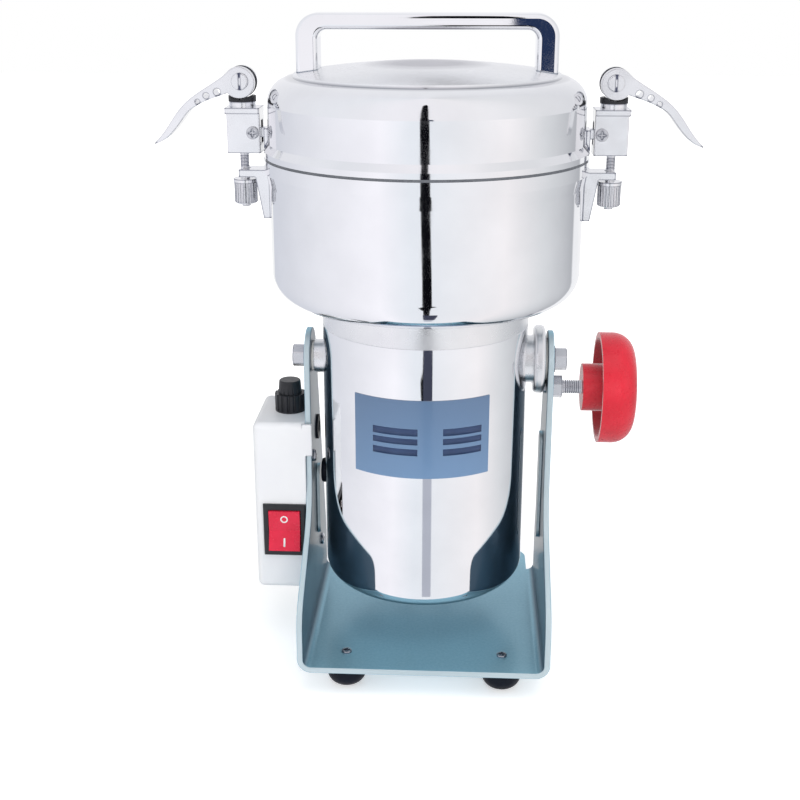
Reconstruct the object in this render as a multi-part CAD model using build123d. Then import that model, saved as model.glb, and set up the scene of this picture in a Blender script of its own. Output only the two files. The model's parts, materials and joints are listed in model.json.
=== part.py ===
from build123d import *
from math import cos, radians, sin
import os

# High-speed grinder on a tilting stand. Millimetres, +Z up, front towards -Y.
# The origin is on the floor, straight under the motor axis.

# Fits and clearances that all pieces share
running_gap = 0.06
press_gap = 0.02
slip_gap = 0.08
soft_gap = 0.3
overrun = 2.0

# Stand: one bent sheet with a base and two arms
sheet = 3.5
bend_radius = 8.0
base_front = 82.0
base_back = 80.0
base_corner_radius = 12.0
sheet_edge = 0.8
pivot_drop = 22.5
arm_end_radius = 17.0
arm_waist_y = 19.0
arm_waist_drop = 90.5
arm_waist_fillet = 40.0
arm_shoulder_y = 80.0
arm_shoulder_rise = 31.5
arm_shoulder_fillet = 20.0
arm_heel_y = 50.0
arm_heel_rise = 30.5
arm_heel_fillet = 8.0
rib_width = 13.0
rib_depth = 2.0
rib_rise = 44.5
rib_drop = 31.5
left_rib_drop = 36.0
rib_y = 8.0

# Feet under the base
foot_height = 15.5
foot_radius = 11.5
foot_dome = 7.5
foot_half_span = 45.5
foot_inset = 20.0
foot_screw_radius = 1.5
foot_screw_head_radius = 3.0
foot_screw_head = 1.2
foot_screw_depth = 6.0

# Cross recess in each screw head, as shares of the head
recess_reach_share = 0.62
recess_width_share = 0.26
recess_depth_share = 0.6

# Tilt pivot and its clamp
left_gap = 6.5
right_gap = 11.5
pivot_bolt_radius = 4.0
pivot_bolt_depth = 8.0
bolt_head_across = 12.0
bolt_head_height = 6.8
bolt_head_edge = 0.7
bolt_flange_radius = 7.8
bolt_flange = 1.2
friction_washer = 1.4
left_washer_radius = 9.0
right_washer_radius = 12.5
spacer_radius = 10.0
lock_disc_radius = 20.0
lock_disc_thickness = 6.6
lock_disc_edge = 2.2
lock_neck_radius = 14.0
clamp_drop = 17.0
stud_radius = 4.0
stud_groove = 0.5
stud_pitch = 1.25
clamp_nut_thickness = 6.0
knob_gap = 11.5
knob_hub_radius = 14.0
knob_hub_length = 9.5
knob_radius = 32.6
knob_depth = 20.6
knob_wall = 3.0
knob_edge_fillet = 12.5
knob_socket_depth = 16.0

# Control box on the left arm
box_width = 31.5
box_front = 20.0
box_back = 34.0
box_rise = 18.5
box_drop = 36.5
box_wall = 2.0
box_fillet = 4.0
box_lip = 1.2
box_lip_height = 20.0
box_lip_proud = 0.5
box_boss_radius = 4.5
box_screw_radius = 2.0
box_screw_head_radius = 3.6
box_screw_head = 1.6
box_screw_length = 14.0
upper_screw_y = -8.0
upper_screw_drop = 24.0
lower_screw_y = 22.0
lower_screw_rise = 14.0
cable_hole_y = 12.0
cable_hole_drop = 13.0
cable_hole_radius = 6.0
grommet_lip = 1.2
grommet_lip_width = 1.6
cord_radius = 3.6
mains_gland_radius = 8.0
mains_gland_length = 6.0
mains_gland_rise = 16.0

# Rocker switch in the front of the box
bezel_width = 26.0
bezel_height = 33.5
bezel_thickness = 2.4
bezel_fillet = 1.2
switch_rise = 40.0
switch_x_shift = 2.3
switch_body_width = 22.6
switch_body_height = 30.0
switch_body_depth = 22.0
rocker_width = 18.8
rocker_height = 25.0
rocker_proud = 3.0
rocker_valley = 1.0
rocker_depth = 6.0
rocker_gap = 0.5
rocker_end_gap = 1.0
rocker_pin_radius = 1.3
rocker_pin_length = 1.0
rocker_pocket_depth = 11.0
rocker_half_turn = 6.0

# Fuse holder on top of the box
fuse_y = 6.3
fuse_x_shift = 4.0
fuse_collar_radius = 9.2
fuse_collar_height = 11.0
fuse_tube_radius = 6.4
fuse_tube_length = 30.0
fuse_flutes = 16
fuse_flute_radius = 0.9
fuse_socket_radius = 5.2
fuse_socket_depth = 9.0
fuse_cap_radius = 7.0
fuse_cap_top_radius = 6.4
fuse_cap_height = 8.0
fuse_cap_stem = 7.0
fuse_radius = 3.2
fuse_length = 28.0

# Motor housing and collar
motor_radius = 60.0
motor_wall = 1.4
motor_gap = 26.9
motor_height = 158.6
motor_edge_radius = 10.0
collar_height = 16.0
collar_wall = 4.0
collar_plate = 9.0
collar_spigot = 8.0
collar_bead = 0.5
collar_groove = 1.0
vent_count = 10
vent_radius = 3.0
vent_circle = 42.0
gland_radius = 7.5
gland_proud = 3.0
gland_drop = 75.0
gland_y = 4.0

# Blank plate on the motor's front
plate_thickness = 0.4
plate_drop = 52.5
plate_height = 46.0
plate_half_angle = 38.5

# Inside the motor
shaft_radius = 5.0
shaft_rise = 9.6
bearing_radius = 13.0
bearing_width = 8.0
bearing_plate_rise = 13.6
bearing_plate = 10.0
bearing_plate_windows = 4
bearing_window_radius = 9.0
bearing_window_circle = 40.0
upper_bearing_rise = 2.0
core_gap = 26.0
fan_core_gap = 12.0
air_gap = 0.6
armature_radius = 30.0
armature_slots = 12
armature_slot_width = 3.0
armature_slot_depth = 5.0
end_turn_inner = 9.0
end_turn_outer = 26.0
end_turn_height = 7.0
field_slot_inner = 35.0
field_slot_outer = 48.0
field_slot_half_angle = 48.0
field_end_turn = 7.0
field_angle_gap = 1.0
commutator_radius = 15.0
commutator_gap = 4.0
commutator_length = 16.0
commutator_slit = 0.5
brush_width = 8.0
brush_height = 6.0
brush_length = 16.0
holder_wall = 2.0
holder_reach = 20.0
fan_drop = 29.0
fan_plate = 2.0
fan_blade_height = 10.0
fan_blade_thickness = 2.0
fan_radius = 46.0
fan_hub_radius = 10.0
fan_blades = 9

# Bowl on top of the collar
bowl_radius = 88.0
bowl_wall = 2.0
bowl_corner_radius = 16.0
bowl_height = 79.6
rim_flange = 2.5
rim_band = 7.1
rim_step = 1.2
rim_taper = 7.5
bowl_screw_circle = 40.0
bowl_screws_count = 4
bowl_screw_radius = 2.5
bowl_screw_head_radius = 4.6
bowl_screw_head = 2.2
bowl_screw_depth = 6.0
seal_radius = 12.0
seal_height = 3.0

# Blades on the shaft
blade_hub_radius = 9.0
blade_thickness = 2.5
blade_width = 22.0
blade_tip_width = 12.0
lower_blade_gap = 8.0
upper_blade_gap = 16.0
blade_lift = 3.0
lower_blade_angle = 25.0
upper_blade_angle = 115.0
blade_wing_share = 0.55
blade_spacer_height = 12.0
blade_nut_across = 17.0
blade_nut_height = 8.0

# Lid, gasket and handle
gasket_thickness = 1.4
gasket_width = 5.0
gasket_inset = 1.0
lid_wall_inset = 2.5
lid_wall = 2.0
lid_lip_inset = 0.2
lid_lip_height = 3.0
lid_lip_taper = 4.0
lid_wall_height = 28.0
lid_shoulder_radius = 14.0
lid_step = 1.6
lid_step_width = 1.0
lid_height = 49.5
lid_dish_radius = 33.0
lid_dish_depth = 0.9
lid_dish_edge = 3.0
handle_length = 142.0
handle_rise = 25.5
handle_bar = 8.4
handle_leg = 12.0
handle_depth = 20.0
handle_corner_radius = 12.0
handle_inner_radius = 5.0
handle_edge_fillet = 2.5
handle_screw_radius = 2.5
handle_screw_head_radius = 4.6
handle_screw_head = 3.0
handle_screw_depth = 10.0

# Clamping latch, drawn on the right and mirrored to the left
latch_pivot_gap = 5.5
latch_pivot_rise = 11.6
latch_screw_radius = 2.0
latch_screw_head_radius = 3.5
latch_screw_head = 1.8
lug_plate = 2.0
lug_rise = 1.0
lug_height = 13.0
lug_half_width = 8.0
tongue_radius = 3.1
tongue_half_width = 3.0
block_gap = 1.5
block_depth = 18.5
block_rise = 0.3
block_height = 24.7
block_half_width = 8.5
block_cap = 3.2
block_cap_proud = 0.8
block_edge_fillet = 0.8
block_boss_radius = 7.4
block_boss_height = 3.0
rod_offset = 6.5
rod_radius = 2.5
rod_groove = 0.35
rod_pitch = 0.8
rod_eye_radius = 4.2
rod_eye_half_width = 2.8
lever_pin_rise = 11.0
lever_pin_radius = 2.0
lever_pin_head_radius = 4.7
lever_pin_head = 1.4
lever_pin_slot = 0.9
lever_head_radius = 8.6
lever_half_width = 6.5
lever_slot_gap = 0.2
lever_range = 110.0
lever_lift = 1.5
lever_reach = 49.5
lever_drop = 34.3
lever_hole_radius = 1.9
lever_edge = 0.6
cam_washer_radius = 7.7
cam_washer_height = 3.0
cam_clearance = 0.5
nut_top_gap = 1.8
nut_collar_radius = 6.9
nut_collar_height = 2.2
nut_radius = 6.5
nut_height = 14.0
nut_flutes = 24
nut_flute_radius = 0.45
nut_edge = 0.9
rod_tail = 1.5
fork_drop = 0.5
fork_thickness = 4.0
fork_half_width = 8.0
fork_reach = 2.4
fork_slot_gap = 0.6
fork_plate = 3.5
fork_plate_height = 27.0
fork_gusset = 4.0
fork_gusset_width = 2.0

# Outline of the lever as shares of its reach and drop, from the pin to the tip
lever_lower_shares = [(0.08, -0.15), (0.22, -0.22), (0.44, -0.34), (0.59, -0.48), (0.67, -0.62),
                      (0.76, -0.78), (1.0, -1.0)]
lever_upper_shares = [(0.98, -0.955), (0.83, -0.70), (0.73, -0.50), (0.62, -0.33), (0.48, -0.18),
                      (0.10, 0.19)]
lever_hole_shares = [(0.26, -0.165), (0.385, -0.225), (0.485, -0.32)]
lever_hole_size_shares = [1.0, 0.85, 0.7]

# Places that follow from the sizes above: stand and motor
base_bottom = foot_height
base_top = foot_height + sheet
left_inner = -(motor_radius + left_gap)
left_outer = left_inner - sheet
right_inner = motor_radius + right_gap
right_outer = right_inner + sheet
stand_middle = (left_outer + right_outer) / 2
motor_bottom = base_top + motor_gap
collar_bottom = motor_bottom + motor_height
collar_top = collar_bottom + collar_height
pivot_height = collar_bottom - pivot_drop
arm_top = pivot_height + arm_end_radius
arm_waist_z = pivot_height - arm_waist_drop
arm_shoulder_z = base_top + arm_shoulder_rise
arm_heel_z = base_top + arm_heel_rise
clamp_z = pivot_height - clamp_drop
rib_bottom = base_top + rib_rise
rib_top = clamp_z - rib_drop

# Places on the control box
box_left = left_outer - box_width
box_middle = (box_left + left_outer) / 2
box_bottom = base_top + box_rise
box_top = pivot_height - box_drop
left_rib_top = box_top - left_rib_drop
upper_screw_z = box_top - upper_screw_drop
lower_screw_z = box_bottom + lower_screw_rise
cable_hole_z = box_top - cable_hole_drop
mains_gland_z = box_bottom + mains_gland_rise
switch_x = box_middle + switch_x_shift
switch_z = box_bottom + switch_rise
fuse_x = box_middle + fuse_x_shift

# Places inside the motor
bore_radius = armature_radius + air_gap
housing_inner = motor_radius - motor_wall
gland_z = pivot_height - gland_drop
plate_bottom = pivot_height - plate_drop
plate_top = plate_bottom + plate_height
shaft_bottom = motor_bottom + shaft_rise
bearing_plate_bottom = motor_bottom + bearing_plate_rise
upper_bearing_bottom = collar_bottom + upper_bearing_rise
commutator_bottom = bearing_plate_bottom + bearing_plate + commutator_gap
commutator_top = commutator_bottom + commutator_length
core_bottom = commutator_top + core_gap
fan_bottom = collar_bottom - fan_drop
core_top = fan_bottom - fan_core_gap

# Places on the bowl and lid
bowl_bottom = collar_top
chamber_floor = bowl_bottom + bowl_wall
chamber_radius = bowl_radius - bowl_wall
lower_blade_reach = chamber_radius - lower_blade_gap
upper_blade_reach = chamber_radius - upper_blade_gap
rim_radius = bowl_radius + rim_flange
rim_top = bowl_bottom + bowl_height
rim_band_bottom = rim_top - rim_band
rim_taper_bottom = rim_band_bottom - rim_taper
lid_bottom = rim_top + gasket_thickness
lid_wall_radius = rim_radius - lid_wall_inset
lid_lip_radius = rim_radius - lid_lip_inset
lid_shoulder_bottom = lid_bottom + lid_wall_height
lid_crown = lid_bottom + lid_height
handle_top = lid_crown + handle_rise

# Places on the latches
latch_pivot_x = rim_radius + latch_pivot_gap
latch_pivot_z = lid_bottom + latch_pivot_rise
rod_x = latch_pivot_x + rod_offset
lug_bottom = lid_bottom + lug_rise
lug_top = lug_bottom + lug_height
block_inner_x = rim_radius + block_gap
block_outer_x = block_inner_x + block_depth
block_bottom = lid_bottom + block_rise
block_top = block_bottom + block_height
lever_pin_z = block_top + block_boss_height + lever_pin_rise
fork_top = rim_band_bottom - fork_drop
fork_bottom = fork_top - fork_thickness
fork_plate_bottom = fork_top - fork_plate_height
nut_top = fork_bottom - nut_top_gap
nut_bottom = nut_top - nut_height
cam_half = radians(lever_range / 2)
cam_offset = lever_lift / (2 * sin(cam_half))


def block(x0, x1, y0, y1, z0, z1):
    """Box between two corners."""
    middle = Pos((x0 + x1) / 2, (y0 + y1) / 2, (z0 + z1) / 2)
    return middle * Box(x1 - x0, y1 - y0, z1 - z0)


def post(radius, z0, z1, x=0, y=0):
    """Upright cylinder."""
    return Pos(x, y, (z0 + z1) / 2) * Cylinder(radius, z1 - z0)


def ring(outer, inner, z0, z1, x=0, y=0):
    """Upright tube."""
    return post(outer, z0, z1, x, y) - post(inner, z0 - overrun, z1 + overrun, x, y)


def bar_x(radius, x0, x1, y, z):
    """Cylinder along X."""
    return Pos((x0 + x1) / 2, y, z) * Rot(0, 90, 0) * Cylinder(radius, x1 - x0)


def bar_y(radius, y0, y1, x, z):
    """Cylinder along Y."""
    return Pos(x, (y0 + y1) / 2, z) * Rot(90, 0, 0) * Cylinder(radius, y1 - y0)


def hex_x(across, x0, x1, y, z):
    """Hexagon bar along X with a flat on top."""
    face = Plane.YZ.offset(x0) * Pos(y, z) * RegularPolygon(across / 2, 6, major_radius=False, rotation=90)
    return extrude(face, x1 - x0)


def turned(points):
    """Solid of revolution about the Z axis from a profile of radius and height."""
    return revolve(Plane.XZ * make_face(Polyline(*points, close=True)), Axis.Z)


def side_plate(points, x0, x1):
    """Side outline of Y and Z points, thickened along X."""
    return extrude(Plane.YZ.offset(x0) * make_face(Polyline(*points, close=True)), x1 - x0)


def edges_at(shape, axis, **place):
    """Edges along an axis whose middle lies at the given coordinates."""
    def fits(edge):
        middle = edge.center()
        return all(abs(getattr(middle, key) - value) < running_gap for key, value in place.items())
    return shape.edges().filter_by(axis).filter_by(fits)


def sector(outer, inner, half_angle, z0, z1, middle):
    """Part of a tube, half_angle degrees to each side of its middle direction."""
    reach = outer / cos(radians(half_angle))
    spread = radians(half_angle)
    side = reach * sin(spread)
    wedge = make_face(Polyline((0, 0), (reach * cos(spread), -side), (2 * reach, -side),
                               (2 * reach, side), (reach * cos(spread), side), close=True))
    return ring(outer, inner, z0, z1) & (Rot(0, 0, middle) * Pos(0, 0, z0) * extrude(wedge, z1 - z0))


def around(shape, count):
    """Copies of a shape spread evenly about the Z axis."""
    return [Rot(0, 0, 360 / count * index) * shape for index in range(count)]


def cross_recess(radius, head):
    """Cross-shaped pocket for a screwdriver, below the origin."""
    reach = radius * recess_reach_share
    half = radius * recess_width_share / 2
    depth = head * recess_depth_share
    cross = block(-reach, reach, -half, half, -depth, overrun)
    return cross + block(-half, half, -reach, reach, -depth, overrun)


def left_of(shape):
    """Mirror image on the left of the motor axis."""
    return mirror(shape, about=Plane.YZ)


# Stand
def pressed_rib(x, depth, z0, z1):
    """Long round-ended pad on an arm."""
    outline = SlotOverall(z1 - z0, rib_width, rotation=90)
    return extrude(Plane.YZ.offset(x) * Pos(rib_y, (z0 + z1) / 2) * outline, depth)


def arm_rims(frame):
    """Long edges along both faces of each arm."""
    faces = (left_outer, left_inner, right_inner, right_outer)

    def fits(edge):
        on_face = any(abs(edge.center().X - x) < running_gap for x in faces)
        return on_face and edge.length > 2 * bend_radius

    return frame.edges().filter_by(fits)


def stand_frame():
    channel = block(left_outer, right_outer, -base_front, base_back, base_bottom, arm_top)
    channel -= block(left_inner, right_inner, -base_front - overrun, base_back + overrun,
                     base_top, arm_top + overrun)
    for x in (left_outer, right_outer):
        channel = fillet(edges_at(channel, Axis.Y, X=x, Z=base_bottom), bend_radius)
    for x in (left_inner, right_inner):
        channel = fillet(edges_at(channel, Axis.Y, X=x, Z=base_top), bend_radius - sheet)
    outline = [
        (-base_front, 0), (-arm_shoulder_y, arm_shoulder_z), (-arm_waist_y, arm_waist_z),
        (-arm_end_radius, pivot_height), (arm_end_radius, pivot_height), (arm_heel_y, arm_heel_z),
        (arm_heel_y, base_top), (base_back, base_top), (base_back, 0),
    ]
    width = (left_outer - overrun, right_outer + overrun)
    side = side_plate(outline, *width)
    side = fillet(edges_at(side, Axis.X, Y=-arm_waist_y, Z=arm_waist_z), arm_waist_fillet)
    side = fillet(edges_at(side, Axis.X, Y=-arm_shoulder_y, Z=arm_shoulder_z), arm_shoulder_fillet)
    side = fillet(edges_at(side, Axis.X, Y=arm_heel_y, Z=arm_heel_z), arm_heel_fillet)
    side += bar_x(arm_end_radius, *width, 0, pivot_height)
    frame = channel & side
    left_strip = (left_outer - overrun, left_outer + bend_radius)
    right_strip = (right_outer - bend_radius, right_outer + overrun)
    for strip in (left_strip, right_strip):
        frame -= block(*strip, arm_heel_y, base_back + overrun, 0, arm_heel_z)
    for x in (left_outer + bend_radius, right_outer - bend_radius):
        frame = fillet(edges_at(frame, Axis.Z, X=x, Y=base_back), base_corner_radius)
    frame += pressed_rib(right_inner, -rib_depth, rib_bottom, rib_top)
    frame -= pressed_rib(right_outer, -rib_depth, rib_bottom, rib_top)
    frame += pressed_rib(left_inner, rib_depth, rib_bottom, left_rib_top)
    frame -= pressed_rib(left_outer, rib_depth, rib_bottom, left_rib_top)
    frame -= bar_x(pivot_bolt_radius + running_gap, *width, 0, pivot_height)
    frame -= bar_x(stud_radius + running_gap, right_inner - overrun, right_outer + overrun, 0, clamp_z)
    left_arm = (left_outer - overrun, left_inner + overrun)
    frame -= bar_x(cable_hole_radius, *left_arm, cable_hole_y, cable_hole_z)
    for y, z in box_screw_places():
        frame -= bar_x(box_screw_radius + press_gap, *left_arm, y, z)
    for x, y in foot_places():
        frame -= post(foot_screw_radius + press_gap, base_bottom - overrun, base_top + overrun, x, y)
    return fillet(arm_rims(frame), sheet_edge)


def foot_places():
    return [(stand_middle + side * foot_half_span, y)
            for side in (-1, 1) for y in (foot_inset - base_front, base_back - foot_inset)]


def box_screw_places():
    return [(upper_screw_y, upper_screw_z), (lower_screw_y, lower_screw_z)]


def rubber_feet():
    foot = post(foot_radius, 0, foot_height)
    foot = fillet(foot.edges().sort_by(Axis.Z)[0], foot_dome)
    foot -= post(foot_screw_radius + press_gap, base_bottom - foot_screw_depth, base_bottom + overrun)
    return Compound([Pos(x, y, 0) * foot for x, y in foot_places()])


def foot_screws():
    head = post(foot_screw_head_radius, base_top, base_top + foot_screw_head)
    head = fillet(head.edges().sort_by(Axis.Z)[-1], foot_screw_head / 2)
    screw = head + post(foot_screw_radius, base_bottom - foot_screw_depth, base_top + foot_screw_head / 2)
    screw -= Pos(0, 0, base_top + foot_screw_head) * cross_recess(foot_screw_head_radius, foot_screw_head)
    return Compound([Pos(x, y, 0) * screw for x, y in foot_places()])


# Tilt pivot
def motor_envelope():
    return post(motor_radius, motor_bottom, collar_top)


def pivot_bolts():
    bolts = []
    for outer, side, depth in ((right_outer, 1, right_gap), (left_outer, -1, left_gap)):
        seat = abs(outer) + slip_gap
        flange_top = seat + bolt_flange
        bolt = bar_x(bolt_flange_radius, seat, flange_top, 0, pivot_height)
        head_top = flange_top + bolt_head_height
        head = hex_x(bolt_head_across, flange_top, head_top, 0, pivot_height)
        corner_radius = bolt_head_across / 2 + bolt_head_edge
        dome = bar_x(corner_radius, flange_top - overrun, head_top, 0, pivot_height)
        bolt += head & fillet(dome.edges().sort_by(Axis.X)[-1], bolt_head_edge)
        tip = seat - slip_gap - sheet - depth - pivot_bolt_depth
        bolt += bar_x(pivot_bolt_radius, tip, flange_top, 0, pivot_height)
        bolts.append(bolt if side > 0 else left_of(bolt))
    return Compound(bolts)


def friction_washers():
    right_face = right_inner - slip_gap
    left_face = left_inner + slip_gap
    right = bar_x(right_washer_radius, right_face - friction_washer, right_face, 0, pivot_height)
    left = bar_x(left_washer_radius, left_face, left_face + friction_washer, 0, pivot_height)
    bore = bar_x(pivot_bolt_radius + press_gap, left_inner - overrun, right_inner + overrun, 0, pivot_height)
    return Compound([right - bore, left - bore])


def lock_disc():
    outer = right_inner - slip_gap - friction_washer
    disc = bar_x(lock_disc_radius, outer - lock_disc_thickness, outer, 0, pivot_height)
    disc = fillet(disc.edges().filter_by(GeomType.CIRCLE), lock_disc_edge)
    disc += bar_x(lock_neck_radius, 0, outer - lock_disc_thickness / 2, 0, pivot_height)
    disc -= motor_envelope()
    return disc - bar_x(pivot_bolt_radius + press_gap, 0, right_outer, 0, pivot_height)


def pivot_spacer():
    spacer = bar_x(spacer_radius, left_inner + slip_gap + friction_washer, 0, 0, pivot_height)
    spacer -= motor_envelope()
    return spacer - bar_x(pivot_bolt_radius + press_gap, left_outer, 0, 0, pivot_height)


# Clamp screw
def clamp_nut():
    nut = hex_x(bolt_head_across, right_outer, right_outer + clamp_nut_thickness, 0, clamp_z)
    end = right_outer + clamp_nut_thickness + overrun
    return nut - bar_x(stud_radius + running_gap, right_outer - overrun, end, 0, clamp_z)


def hub_face():
    return right_outer + clamp_nut_thickness + knob_gap


def clamp_stud():
    tip = right_inner - friction_washer
    end = hub_face() + knob_socket_depth
    stud = bar_x(stud_radius, tip, end, 0, clamp_z)
    first = right_outer + clamp_nut_thickness + stud_pitch
    for index in range(int(knob_gap / stud_pitch) - 1):
        x = first + index * stud_pitch
        groove = bar_x(stud_radius + overrun, x, x + stud_pitch / 2, 0, clamp_z)
        stud -= groove - bar_x(stud_radius - stud_groove, x - overrun, x + overrun, 0, clamp_z)
    return stud


def clamp_knob():
    face = hub_face()
    rim = face + knob_hub_length
    crown = rim + knob_depth
    cup = bar_x(knob_radius, rim, crown, 0, clamp_z)
    cup = fillet(cup.edges().sort_by(Axis.X)[-1], knob_edge_fillet)
    hollow = bar_x(knob_radius - knob_wall, rim - overrun, crown - knob_wall, 0, clamp_z)
    hollow = fillet(hollow.edges().sort_by(Axis.X)[-1], knob_edge_fillet - knob_wall)
    knob = cup - hollow
    knob += bar_x(knob_hub_radius, face, crown - knob_wall, 0, clamp_z)
    socket_end = face + knob_socket_depth + slip_gap
    return knob - bar_x(stud_radius + running_gap, face - overrun, socket_end, 0, clamp_z)


# Control box
def control_box():
    box = block(box_left, left_outer, -box_front, box_back, box_bottom, box_top)
    rounded = box.edges().filter_by(lambda edge: edge.center().X < left_outer - running_gap)
    box = fillet(rounded, box_fillet)
    box -= block(box_left + box_wall, left_outer + overrun, box_wall - box_front, box_back - box_wall,
                 box_bottom + box_wall, box_top - box_wall)
    box += block(left_outer - box_wall, left_inner + box_lip_proud, -box_front, box_lip - box_front,
                 box_top - box_lip_height, box_top)
    for y, z in box_screw_places():
        box += bar_x(box_boss_radius, box_left + box_wall / 2, left_outer, y, z)
        box -= bar_x(box_screw_radius + press_gap, left_outer - box_screw_length, left_outer + overrun, y, z)
    box -= switch_block(switch_body_width + 2 * press_gap, switch_body_height + 2 * press_gap,
                        -box_front - overrun, box_wall - box_front + overrun)
    box -= post(fuse_tube_radius + press_gap, box_top - box_wall - overrun, box_top + overrun, fuse_x, fuse_y)
    box -= bar_y(mains_gland_radius - box_wall, box_back - box_wall - overrun, box_back + overrun,
                 box_middle, mains_gland_z)
    return box


def box_screws():
    screws = []
    tip = left_outer - box_screw_length
    for y, z in box_screw_places():
        head = bar_x(box_screw_head_radius, left_inner, left_inner + box_screw_head, y, z)
        head = fillet(head.edges().sort_by(Axis.X)[-1], box_screw_head / 2)
        screw = head + bar_x(box_screw_radius, tip, left_inner + box_screw_head / 2, y, z)
        recess = cross_recess(box_screw_head_radius, box_screw_head)
        screws.append(screw - Pos(left_inner + box_screw_head, y, z) * Rot(0, 90, 0) * recess)
    return Compound(screws)


def arm_grommet():
    lip = cable_hole_radius + grommet_lip_width
    place = (cable_hole_y, cable_hole_z)
    ends = (left_outer - grommet_lip, left_inner + grommet_lip)
    grommet = bar_x(lip, ends[0], left_outer, *place)
    grommet += bar_x(lip, left_inner, ends[1], *place)
    grommet += bar_x(cable_hole_radius, *ends, *place)
    return grommet - bar_x(cord_radius, ends[0] - overrun, ends[1] + overrun, *place)


def mains_gland():
    neck = mains_gland_radius - box_wall
    end = box_back + mains_gland_length
    gland = bar_y(mains_gland_radius, box_back, end, box_middle, mains_gland_z)
    gland = fillet(gland.edges().sort_by(Axis.Y)[-1], box_wall)
    gland += bar_y(neck, box_back - 2 * box_wall, box_back + box_wall, box_middle, mains_gland_z)
    return gland - bar_y(cord_radius, box_back - gland_radius, end + overrun, box_middle, mains_gland_z)


# Rocker switch
def switch_block(width, height, y0, y1):
    """Box centred on the switch."""
    return block(switch_x - width / 2, switch_x + width / 2, y0, y1,
                 switch_z - height / 2, switch_z + height / 2)


def rocker_pivot_y():
    return -box_front + rocker_depth / 2


def switch_housing():
    bezel = switch_block(bezel_width, bezel_height, -box_front - bezel_thickness, -box_front)
    bezel = fillet(bezel.edges().group_by(Axis.Y)[0], bezel_fillet)
    housing = bezel + switch_block(switch_body_width, switch_body_height,
                                   -box_front, switch_body_depth - box_front)
    housing -= switch_block(rocker_width + 2 * rocker_gap, rocker_height + 2 * rocker_end_gap,
                            -box_front - bezel_thickness - overrun, rocker_pocket_depth - box_front)
    pin = rocker_width / 2 + rocker_gap + rocker_pin_length + slip_gap
    return housing - bar_x(rocker_pin_radius + running_gap, switch_x - pin, switch_x + pin,
                           rocker_pivot_y(), switch_z)


def rocker_button():
    face = -box_front - bezel_thickness
    half = rocker_height / 2
    outline = [
        (face - rocker_proud, switch_z - half), (face - rocker_valley, switch_z),
        (face - rocker_proud, switch_z + half), (rocker_depth - box_front, switch_z + half),
        (rocker_depth - box_front, switch_z - half),
    ]
    rocker = side_plate(outline, switch_x - rocker_width / 2, switch_x + rocker_width / 2)
    pin = rocker_width / 2 + rocker_gap + rocker_pin_length
    rocker += bar_x(rocker_pin_radius, switch_x - pin, switch_x + pin, rocker_pivot_y(), switch_z)
    axis = Axis((switch_x, rocker_pivot_y(), switch_z), (1, 0, 0))
    return rocker.rotate(axis, -rocker_half_turn)


# Fuse holder
def fuse_holder():
    top = box_top + fuse_collar_height
    holder = post(fuse_collar_radius, box_top, top, fuse_x, fuse_y)
    flute = post(fuse_flute_radius, box_top + fuse_flute_radius, top + overrun, fuse_collar_radius, 0)
    holder -= [Pos(fuse_x, fuse_y, 0) * cut for cut in around(flute, fuse_flutes)]
    holder += post(fuse_tube_radius, box_top - fuse_tube_length, box_top + running_gap, fuse_x, fuse_y)
    socket_floor = top - fuse_socket_depth
    holder -= post(fuse_socket_radius + running_gap, socket_floor, top + overrun, fuse_x, fuse_y)
    floor = box_top - fuse_tube_length + box_wall
    return holder - post(fuse_radius + press_gap, floor, top, fuse_x, fuse_y)


def fuse_cartridge():
    floor = box_top - fuse_tube_length + box_wall
    return post(fuse_radius, floor, floor + fuse_length, fuse_x, fuse_y)


def fuse_cap():
    seat = box_top + fuse_collar_height + slip_gap
    place = Pos(fuse_x, fuse_y, seat + fuse_cap_height / 2)
    cap = place * Cone(fuse_cap_radius, fuse_cap_top_radius, fuse_cap_height)
    cap = fillet(cap.edges().sort_by(Axis.Z)[-1], fuse_flute_radius)
    flute = post(fuse_flute_radius / 2, seat, seat + fuse_cap_height - fuse_flute_radius, fuse_cap_radius, 0)
    cap -= [Pos(fuse_x, fuse_y, 0) * cut for cut in around(flute, fuse_flutes)]
    cap += post(fuse_socket_radius, seat - fuse_cap_stem, seat + fuse_flute_radius, fuse_x, fuse_y)
    return cap


# Motor
def cup(radius, bottom, top, corner):
    """Round cup shape, filled, with a rounded lower edge."""
    body = post(radius, bottom, top)
    return fillet(body.edges().sort_by(Axis.Z)[0], corner)


def pivot_bore():
    return bar_x(pivot_bolt_radius + press_gap, left_outer, right_outer, 0, pivot_height)


def motor_housing():
    shell = cup(motor_radius, motor_bottom, collar_bottom, motor_edge_radius)
    shell -= cup(housing_inner, motor_bottom + motor_wall, collar_bottom + overrun,
                 motor_edge_radius - motor_wall)
    shell -= pivot_bore()
    vent = post(vent_radius, motor_bottom - overrun, motor_bottom + motor_wall + overrun, vent_circle)
    shell -= around(vent, vent_count)
    return shell - bar_x(cord_radius + motor_wall, left_inner, 0, gland_y, gland_z)


def motor_gland():
    gland = bar_x(gland_radius, -motor_radius - gland_proud, 0, gland_y, gland_z)
    gland = fillet(gland.edges().sort_by(Axis.X)[0], motor_wall)
    gland -= motor_envelope()
    neck_radius = cord_radius + motor_wall - press_gap
    neck = bar_x(neck_radius, -motor_radius - gland_proud / 2, -housing_inner, gland_y, gland_z)
    return (gland + neck) - bar_x(cord_radius, left_outer, 0, gland_y, gland_z)


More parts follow.
